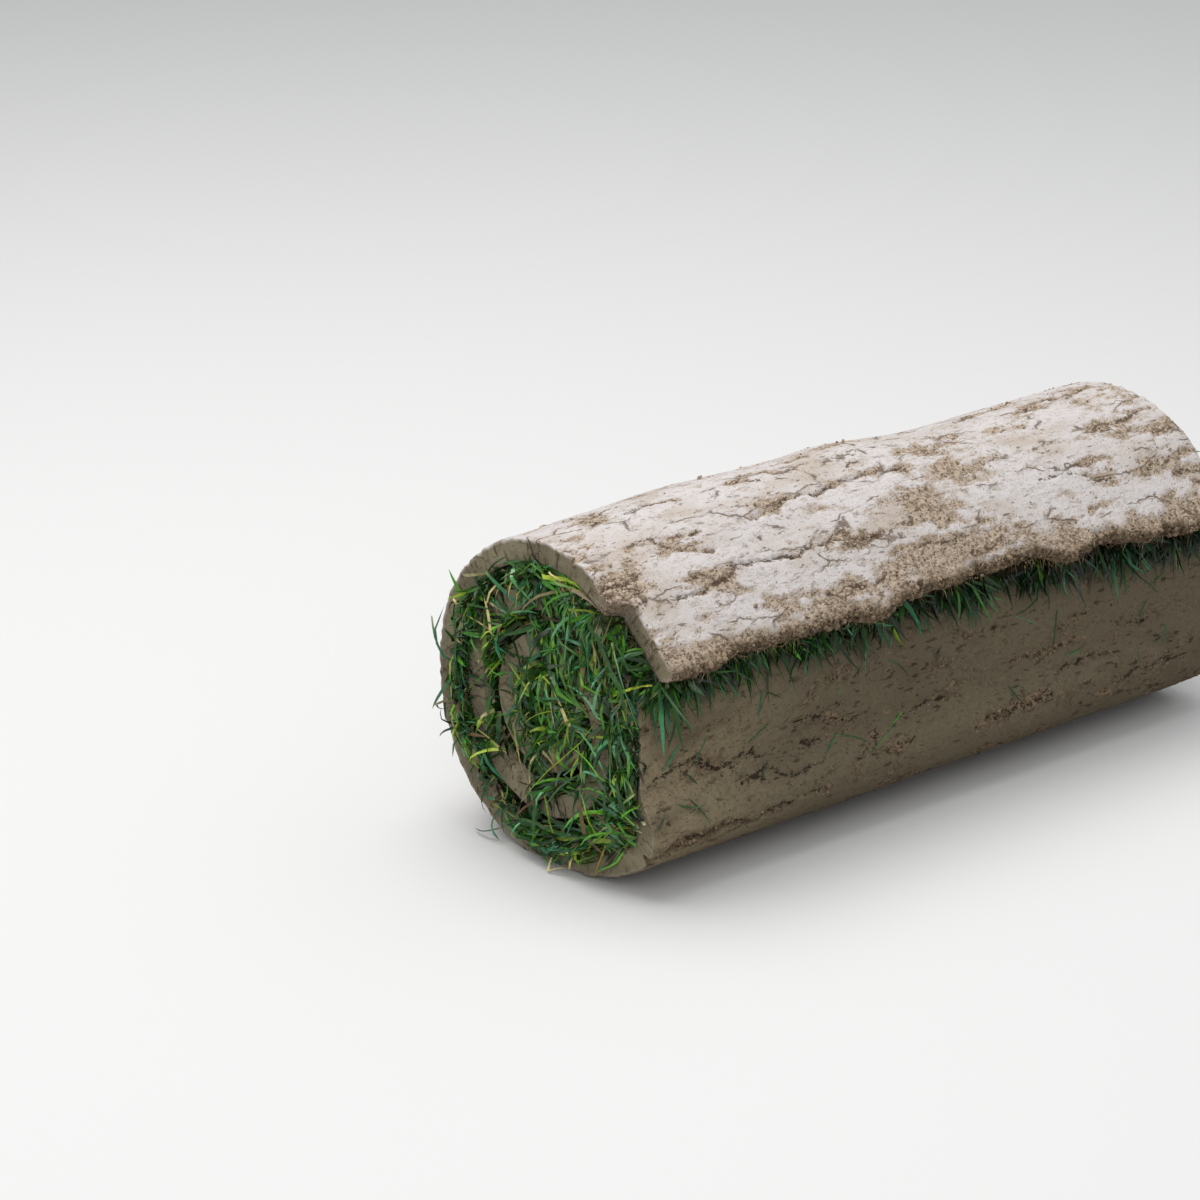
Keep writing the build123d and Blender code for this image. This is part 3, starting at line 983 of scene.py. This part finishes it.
def flapFringe(settings):
    # tufts rooted behind the torn edge, most of them in its shade
    rng = np.random.default_rng(settings["seed"])
    tufts = settings["tufts"]
    owner = np.repeat(np.arange(tufts), rng.integers(2, 9, tufts))
    count = len(owner)
    x = rng.uniform(flapEnd + 1, halfWidth - 1, tufts)[owner] + rng.normal(0, 1.5, count)
    x = np.clip(x, flapEnd + 0.5, halfWidth - 0.5)
    short = (rng.random(tufts) < settings["short"])[owner]
    s = freeEdge(x) + 6.5 + np.abs(rng.normal(0, 17, tufts))[owner] + rng.uniform(0, 2, count)
    roots, inward, along = onStrip(s, x, roll["soil"] + rng.uniform(-0.3, 2.0, count))
    aims = inward * rng.uniform(0.5, 1.2, tufts)[owner][:, None]
    aims = aims - along * rng.uniform(0.0, 0.8, tufts)[owner][:, None]
    lean = valueNoise(x / 14, 5.1, 603) * 0.6 + rng.normal(0, 1.05, tufts)[owner]
    aims = aims + rng.normal(0, 0.66, (count, 3)) + np.array([1, 0, 0]) * lean[:, None]
    clump = layeredNoise(x / 17, 2.2, 602, 2)
    lengths = 0.028 * np.exp(rng.normal(0, 0.33, tufts)[owner] + 0.42 * clump)
    lengths = np.clip(lengths, *settings["lengths"])
    lengths = lengths * rng.uniform(0.45, 1.2, count) * (1.12 + 0.15 * smoothStep(-90, -190, x))
    lengths = np.where(short, (0.58 + 0.24 * smoothStep(-90, 10, x)) * lengths, lengths)
    widths = (0.0013 + 0.0020 * rng.random(count) ** 1.5) * np.where(short, 1.0, 1.2)
    settings = dict(settings, droop=rng.uniform(0.02, 0.4, tufts)[owner])
    gap = np.where(short, rng.uniform(0.4, 2.0, count), rng.uniform(0.8, 6.0, count))
    # painted shade under the flap: the short blades much darker, and all of them darker toward the far end
    dark = (np.where(short, 0.26, 0.92) * (1 - 0.35 * smoothStep(-60, 120, x)))[:, None]
    tones = [tone * dark for tone in bladeTones(rng, count, settings["mix"])]

    def keepOff(p, k):
        return offWall(underFlap(p, 0.4), gap)

    return growBlades("grass_under_flap", roots, aims, lengths, widths, tones, settings, keepOff, rng)


fringe = flapFringe(fringeGrass)

rootFibres = {
    "steps": 4,
    "curl": 0.35,
    "twist": 0.3,
    "count": 900,
    "stems": [1, 0, 0],
    "mix": {"fibre": 60, "brown": 30, "straw": 10},
    "seed": 651,
    "facing": (0, -1.0, 0.5),
    "lengths": (0.003, 0.013),
}


def edgeFibres(settings):
    # fine roots that hang out of the torn edge
    rng = np.random.default_rng(settings["seed"])
    count = settings["count"]
    x = rng.uniform(flapEnd + 1, halfWidth - 1, count)
    s = freeEdge(x) + 1.0 + np.abs(rng.normal(0, 3.5, count))
    depth = rng.uniform(7, roll["soil"] + 0.5, count)
    roots, inward, along = onStrip(s + 3.5 * (depth / roll["soil"]) ** 2, x, depth)
    aims = inward * rng.uniform(0.2, 1.2, count)[:, None] - along * rng.uniform(0.1, 0.9, count)[:, None]
    aims = aims + rng.normal(0, 0.45, (count, 3))
    lengths = rng.uniform(*settings["lengths"], count)
    widths = rng.uniform(0.00025, 0.0006, count)
    settings = dict(settings, droop=rng.uniform(0.1, 0.6, count))
    tones = bladeTones(rng, count, settings["mix"])

    def keepOff(p, k):
        return offWall(p, 0.5)

    return growBlades("root_fibres", roots, aims, lengths, widths, tones, settings, keepOff, rng)


fibres = edgeFibres(rootFibres)

strayGrass = {
    "steps": 5,
    "curl": 0.10,
    "twist": 0.5,
    "count": 46,
    "stems": [0.8, 0.2, 0],
    "mix": {"deep": 38, "green": 30, "bluish": 28, "bright": 4},
    "seed": 701,
    "facing": (0, -2.5, 0.3),
    "lengths": (0.010, 0.026),
}


def strayBlades(settings):
    # single blades that stick to the second turn's soil
    rng = np.random.default_rng(settings["seed"])
    count = settings["count"]
    x = -halfWidth + 8 + (roll["width"] - 20) * rng.random(count) ** 1.4
    s = rng.uniform(566, 640, count)
    roots, along = onStrip(s, x, -0.8)[::2]
    aims = -along * rng.uniform(0.2, 1.0, count)[:, None]
    aims = aims + np.array([1.0, 0, 0]) * rng.normal(0, 0.8, count)[:, None]
    lengths = rng.uniform(*settings["lengths"], count)
    widths = rng.uniform(0.0010, 0.0018, count)
    settings = dict(settings, droop=rng.uniform(0.0, 0.15, count))
    tones = bladeTones(rng, count, settings["mix"])

    def keepOff(p, k):
        return offWall(p, 0.7, 0.249)

    return growBlades("stray_blades", roots, aims, lengths, widths, tones, settings, keepOff, rng)


strays = strayBlades(strayGrass)
grassPieces = (nearGrass, farGrass, fringe, fibres, strays)
for piece in grassPieces:
    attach(piece, "root")
    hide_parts("grass_sward")
print("fringe, fibres and strays:", [len(piece.data.polygons) for piece in grassPieces[2:]], "faces")

crumbs = scatterCrumbs(crumbSettings)
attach(crumbs, "root")
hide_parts("soil_mat")
print("loose crumbs:", len(crumbs.data.polygons), "faces")


# Materials
def newMaterial(name, roughness, specular):
    material = bpy.data.materials.new(name)
    material.use_nodes = True
    shader = material.node_tree.nodes["Principled BSDF"]
    shader.inputs["Roughness"].default_value = roughness
    shader.inputs["Specular IOR Level"].default_value = specular
    return material, material.node_tree, shader


def feed(tree, socket, value):
    # a socket gets a link, a number, a vector or a colour
    if isinstance(value, bpy.types.NodeSocket):
        tree.links.new(value, socket)
    elif isinstance(value, (int, float)):
        socket.default_value = value
    else:
        socket.default_value = (*value, 1)[:len(socket.default_value)]


def addNode(tree, kind, inputs=(), **values):
    node = tree.nodes.new(kind)
    for key, value in values.items():
        setattr(node, key, value)
    for key, value in dict(inputs).items():
        feed(tree, node.inputs[key], value)
    return node


def mixColours(tree, factor, first, second, blend="MIX"):
    inputs = {0: factor, 6: first, 7: second}
    return addNode(tree, "ShaderNodeMix", inputs, data_type="RGBA", blend_type=blend).outputs[2]


def mathNode(tree, operation, first, second):
    return addNode(tree, "ShaderNodeMath", {0: first, 1: second}, operation=operation).outputs[0]


def plus(tree, *terms):
    total = terms[0]
    for term in terms[1:]:
        total = mathNode(tree, "ADD", total, term)
    return total


def times(tree, *factors):
    product = factors[0]
    for factor in factors[1:]:
        product = mathNode(tree, "MULTIPLY", product, factor)
    return product


def most(tree, *values):
    largest = values[0]
    for value in values[1:]:
        largest = mathNode(tree, "MAXIMUM", largest, value)
    return largest


def scaled(tree, socket, middle, factor):
    return times(tree, mathNode(tree, "SUBTRACT", socket, middle), factor)


def remap(tree, value, low, high, toLow=0.0, toHigh=1.0):
    inputs = dict(enumerate((value, low, high, toLow, toHigh)))
    return addNode(tree, "ShaderNodeMapRange", inputs, interpolation_type="SMOOTHSTEP").outputs[0]


def stretched(tree, vector, stretch):
    return addNode(tree, "ShaderNodeMapping", {"Vector": vector, "Scale": stretch}).outputs[0]


def noiseAt(tree, vector, scale, stretch=(1, 1, 1), detail=3.0, rough=0.55):
    vector = stretched(tree, vector, stretch)
    inputs = {"Vector": vector, "Scale": scale, "Detail": detail, "Roughness": rough}
    return addNode(tree, "ShaderNodeTexNoise", inputs).outputs["Fac"]


def voronoiAt(tree, vector, scale, stretch=(1, 1, 1), feature="F1"):
    inputs = {"Vector": stretched(tree, vector, stretch), "Scale": scale}
    return addNode(tree, "ShaderNodeTexVoronoi", inputs, feature=feature)


def attributeOf(tree, name, output="Fac"):
    return addNode(tree, "ShaderNodeAttribute", attribute_name=name).outputs[output]


def addBump(tree, shader, height, distance, strength=1.0):
    inputs = {"Height": height, "Distance": distance, "Strength": strength}
    feed(tree, shader.inputs["Normal"], addNode(tree, "ShaderNodeBump", inputs).outputs[0])


def makeEarthGroup():
    # crumbs, specks, cracks and grain of earth, for every soil surface
    group = bpy.data.node_groups.new("earth grain", "ShaderNodeTree")
    for name in ("Place", "Crumb", "Crack", "Near", "DampShade"):
        kind = "NodeSocketVector" if name == "Place" else "NodeSocketFloat"
        group.interface.new_socket(name, in_out="INPUT", socket_type=kind)
    for name in ("Crumbs", "Specks", "Patches", "Tone", "Grain"):
        group.interface.new_socket(name, in_out="OUTPUT", socket_type="NodeSocketFloat")
    enter = addNode(group, "NodeGroupInput").outputs
    place, crumb, shadedDamp = enter["Place"], enter["Crumb"], enter["DampShade"]
    fine = noiseAt(group, place, 780, (1, 0.75, 1), 2, 0.6)
    middling = noiseAt(group, place, 230, (1, 0.55, 1), 5, 0.68)
    patches = noiseAt(group, place, 26, (1, 0.45, 1), 4, 0.6)
    # the border of a crumbly place is ragged down to single grains
    ragged = plus(group, crumb, scaled(group, middling, 0.5, 2.9), scaled(group, fine, 0.5, 2.0))
    # cracks: hairlines along the borders of large cells, with crumbs beside them
    wave = addNode(group, "ShaderNodeTexNoise", {"Vector": place, "Scale": 95, "Detail": 3}).outputs["Color"]
    warp = addNode(group, "ShaderNodeVectorMath", {0: wave, "Scale": 0.009}, operation="SCALE").outputs[0]
    moved = addNode(group, "ShaderNodeVectorMath", {0: place, 1: warp}, operation="ADD").outputs[0]
    border = voronoiAt(group, moved, 38, (1, 0.36, 1), "DISTANCE_TO_EDGE").outputs["Distance"]
    shown = remap(group, noiseAt(group, place, 60, (1, 0.5, 1), 2), 0.46, 0.58)
    beside = times(group, remap(group, border, 0.0, 0.13, 0.46, 0.0), shown)
    crumbs = remap(group, plus(group, ragged, beside), 0.30, 0.82)
    crumbs = times(group, crumbs, remap(group, crumb, 0.35, 0.95, 0.62, 1.0))
    streaks = remap(group, noiseAt(group, place, 150, (1, 0.30, 1), 6, 0.78), 0.535, 0.66, 0.0, 0.62)
    crumbs = most(group, crumbs, streaks)
    hair = remap(group, plus(group, border, scaled(group, fine, 0.5, 0.05)), 0.004, 0.026, 1.0, 0.0)
    hair = times(group, hair, shown, remap(group, shadedDamp, 0.1, 0.8, 0.9, 0.25))
    grains = voronoiAt(group, place, 640, (1, 0.8, 1)).outputs
    split = addNode(group, "ShaderNodeSeparateColor", {0: grains["Color"]}).outputs
    tone = plus(group, times(group, split[0], 0.60), scaled(group, middling, 0.1, 0.62))
    # specks, more of them where it is crumbly, and short dashes along the roll
    dots = remap(group, mathNode(group, "SUBTRACT", fine, times(group, crumbs, -0.035)), 0.670, 0.73)
    dashes = plus(group, noiseAt(group, place, 330, (1, 0.30, 1), 2, 0.5), times(group, shadedDamp, 0.022))
    dashes = remap(group, dashes, 0.635, 0.70)
    dashes = times(group, dashes, remap(group, patches, 0.36, 0.62, 0.15, 0.85))
    # the cut cracks: a dark line that wanders
    line = plus(group, enter["Near"], scaled(group, fine, 0.5, 4.2), scaled(group, middling, 0.5, 5.0))
    line = remap(group, line, 0.20, 0.95, 1.0, 0.0)
    specks = most(group, dots, dashes, line, hair, enter["Crack"])
    lumps = times(group, mathNode(group, "SUBTRACT", 1.0, grains["Distance"]), crumbs, 0.65)
    grain = plus(group, times(group, fine, 0.5), lumps)
    grain = mathNode(group, "SUBTRACT", grain, times(group, specks, 0.7))
    results = {"Crumbs": crumbs, "Specks": specks, "Patches": patches, "Tone": tone, "Grain": grain}
    addNode(group, "NodeGroupOutput", results)
    return group


earthGroup = makeEarthGroup()

earthLook = {
    "plate": (0.665, 0.618, 0.602),
    "plateWarm": (0.530, 0.450, 0.385),
    "crumbLight": (0.525, 0.415, 0.312),
    "crumbDark": (0.205, 0.142, 0.092),
    "speck": (0.125, 0.082, 0.050),
    # damp colours: darker partly as painted shade of the second turn and the torn lip; the far one is
    # painted shade toward the far end
    "shadedDampSpeck": (0.022, 0.014, 0.008),
    "shadedDampPlate": (0.310, 0.250, 0.154),
    "farShadeDampPlate": (0.178, 0.146, 0.093),
    "shadedDampWarm": (0.118, 0.090, 0.055),
    "shadedDampLight": (0.320, 0.225, 0.140),
    "shadedDampDark": (0.050, 0.030, 0.017),
    "cut": (0.315, 0.278, 0.180),
    "cutWarm": (0.215, 0.180, 0.118),
    "bump": 0.0009,
}


def makeEarth(look):
    material, tree, shader = newMaterial("earth", 0.93, 0.25)
    place = attributeOf(tree, "stripPlace", "Vector")
    cut, moist, crumb = (attributeOf(tree, name) for name in ("cutFace", "moist", "crumb"))
    near, crack = attributeOf(tree, "crackNear"), attributeOf(tree, "crack")
    inputs = {"Place": place, "Crumb": crumb, "Crack": crack, "Near": near, "DampShade": moist}
    grain = addNode(tree, "ShaderNodeGroup", inputs, node_tree=earthGroup)
    patches, tone, crumbs = (grain.outputs[name] for name in ("Patches", "Tone", "Crumbs"))
    # dry soil: pale plates with warmer patches and halos round the crumbs
    mottle = remap(tree, noiseAt(tree, place, 420, (1, 0.7, 1), 3, 0.7), 0.46, 0.70, 0.0, 0.75)
    halo = remap(tree, crumb, 0.08, 0.60, 0.0, 0.9)
    warmth = most(tree, remap(tree, patches, 0.44, 0.70), mottle, halo)
    tone = remap(tree, tone, 0.20, 0.74)
    dryPlate = mixColours(tree, warmth, look["plate"], look["plateWarm"])
    dry = mixColours(tree, crumbs, dryPlate, mixColours(tree, tone, look["crumbDark"], look["crumbLight"]))
    # damp soil, darker partly as painted shade, and darker toward the far end as painted shade
    across = addNode(tree, "ShaderNodeSeparateXYZ", {0: place}).outputs["Y"]
    shadedDampPlate = mixColours(tree, remap(tree, across, -0.25, -0.10), look["shadedDampPlate"], look["farShadeDampPlate"])
    shadedDampPlate = mixColours(tree, times(tree, warmth, 0.8), shadedDampPlate, look["shadedDampWarm"])
    shadedDampLoose = mixColours(tree, tone, look["shadedDampDark"], look["shadedDampLight"])
    shadedDamp = mixColours(tree, times(tree, crumbs, 0.85), shadedDampPlate, shadedDampLoose)
    # the cut ends, with slits square to the strip
    cutTone = mixColours(tree, remap(tree, patches, 0.35, 0.65), look["cut"], look["cutWarm"])
    cutTone = mixColours(tree, times(tree, crumbs, 0.55), cutTone, shadedDampLoose)
    slits = remap(tree, noiseAt(tree, place, 330, (1, 0.3, 0.24), 2, 0.5), 0.605, 0.68)
    surface = mixColours(tree, cut, mixColours(tree, moist, dry, shadedDamp), cutTone)
    specks = most(tree, grain.outputs["Specks"], times(tree, slits, cut, 0.85))
    speckTone = mixColours(tree, moist, look["speck"], look["shadedDampSpeck"])
    surface = mixColours(tree, times(tree, specks, 0.88), surface, speckTone)
    feed(tree, shader.inputs["Base Color"], surface)
    addBump(tree, shader, grain.outputs["Grain"], look["bump"], 0.8)
    return material


# the thatch's colours are near black: partly the matted roots' own dark brown, partly painted shade in the
# deep gaps between the turns
thatchAndShadeLook = {"dark": (0.008, 0.007, 0.004), "brown": (0.040, 0.026, 0.013), "green": (0.018, 0.036, 0.007)}


def makeThatch(look):
    material, tree, shader = newMaterial("thatch", 0.95, 0.1)
    place = attributeOf(tree, "stripPlace", "Vector")
    strands = noiseAt(tree, place, 260, (1, 1, 0.3), 4, 0.7)
    patches = remap(tree, noiseAt(tree, place, 60), 0.48, 0.66)
    dark = mixColours(tree, remap(tree, strands, 0.40, 0.62), look["dark"], look["brown"])
    feed(tree, shader.inputs["Base Color"], mixColours(tree, patches, dark, look["green"]))
    addBump(tree, shader, strands, 0.002)
    return material


def makeBlade():
    material, tree, shader = newMaterial("grass blade", 0.38, 0.45)
    colour = attributeOf(tree, "bladeColour", "Vector")
    position = addNode(tree, "ShaderNodeTexCoord").outputs["Object"]
    mottle = remap(tree, noiseAt(tree, position, 240, detail=2), 0.4, 0.62)
    dull = mixColours(tree, 1.0, colour, (0.72, 0.72, 0.62), "MULTIPLY")
    feed(tree, shader.inputs["Base Color"], mixColours(tree, mottle, colour, dull))
    return material


earth = makeEarth(earthLook)
thatchMaterial = makeThatch(thatchAndShadeLook)
bladeMaterial = makeBlade()
for piece in (soilOuter, soilInner, crumbs):
    piece.data.materials.append(earth)
thatch.data.materials.append(thatchMaterial)
for piece in grassPieces:
    piece.data.materials.append(bladeMaterial)
print("materials made")


# Floor, backdrop, lamps and camera
stageLook = {"floor": (0.80, 0.79, 0.77), "bounce": (0.42, 0.40, 0.37)}


def stageMaterial(look):
    material, tree, shader = newMaterial("stage", 0.9, 0.1)
    light = addNode(tree, "ShaderNodeLightPath").outputs
    seen = most(tree, light["Is Camera Ray"], light["Is Glossy Ray"], light["Is Transmission Ray"])
    feed(tree, shader.inputs["Base Color"], mixColours(tree, seen, look["bounce"], look["floor"]))
    return material


bpy.ops.object.select_all(action="DESELECT")
bpy.ops.mesh.primitive_plane_add(size=14, location=(0, 0, 0))
floor = bpy.context.object
floor.name = "floor"
bpy.ops.object.mode_set(mode="EDIT")
bpy.ops.mesh.select_all(action="DESELECT")
bpy.ops.object.mode_set(mode="OBJECT")
for edge in floor.data.edges:
    edge.select = all(floor.data.vertices[v].co.y > 6 for v in edge.vertices)
bpy.ops.object.mode_set(mode="EDIT")
bpy.ops.mesh.select_mode(type="EDGE")
bpy.ops.mesh.extrude_region_move(TRANSFORM_OT_translate={"value": (0, 0, 6)})
bpy.ops.object.mode_set(mode="OBJECT")
floor.data.materials.append(stageMaterial(stageLook))

skyColour, skyStrength = (0.92, 0.96, 1.0, 1), 0.55
world =bpy.data.worlds.new("studio")
bpy.context.scene.world = world
world.use_nodes = True
background = world.node_tree.nodes["Background"]
background.inputs["Color"].default_value = skyColour
background.inputs["Strength"].default_value = skyStrength

lamps = {
    # place, target, size, watts
    "sky": ((-0.3, 0.5, 2.4), (0, 0, 0.1), 2.2, 46),
    "front": ((-2.2, -1.6, 1.7), (-0.1, 0, 0.1), 1.6, 16),
}
for name, (place, target, size, watts) in lamps.items():
    data = bpy.data.lights.new(name, "AREA")
    data.shape = "SQUARE"
    data.size = size
    data.energy = watts
    lamp = bpy.data.objects.new(name, data)
    bpy.context.collection.objects.link(lamp)
    lamp.location = place
    lamp.rotation_euler = (Vector(target) - Vector(place)).to_track_quat("-Z", "Y").to_euler()

cameraView = {
    "place": (-1.6949, -1.6851, 0.9545),
    "forward": (0.62273, 0.70749, -0.33415),
    "roll": 0.17,
    "lens": 120.0,
}
cameraData = bpy.data.cameras.new("camera")
cameraData.lens = cameraView["lens"]
cameraData.sensor_width = 36.0
camera = bpy.data.objects.new("camera", cameraData)
bpy.context.collection.objects.link(camera)
turned = Vector(cameraView["forward"]).to_track_quat("-Z", "Y").to_matrix().to_4x4()
turned = turned @ Matrix.Rotation(math.radians(cameraView["roll"]), 4, "Z")
camera.matrix_world = Matrix.Translation(cameraView["place"]) @ turned
bpy.context.scene.camera = camera
bpy.context.scene.view_settings.view_transform = "Standard"

bpy.context.view_layer.update()
print("scene ready")
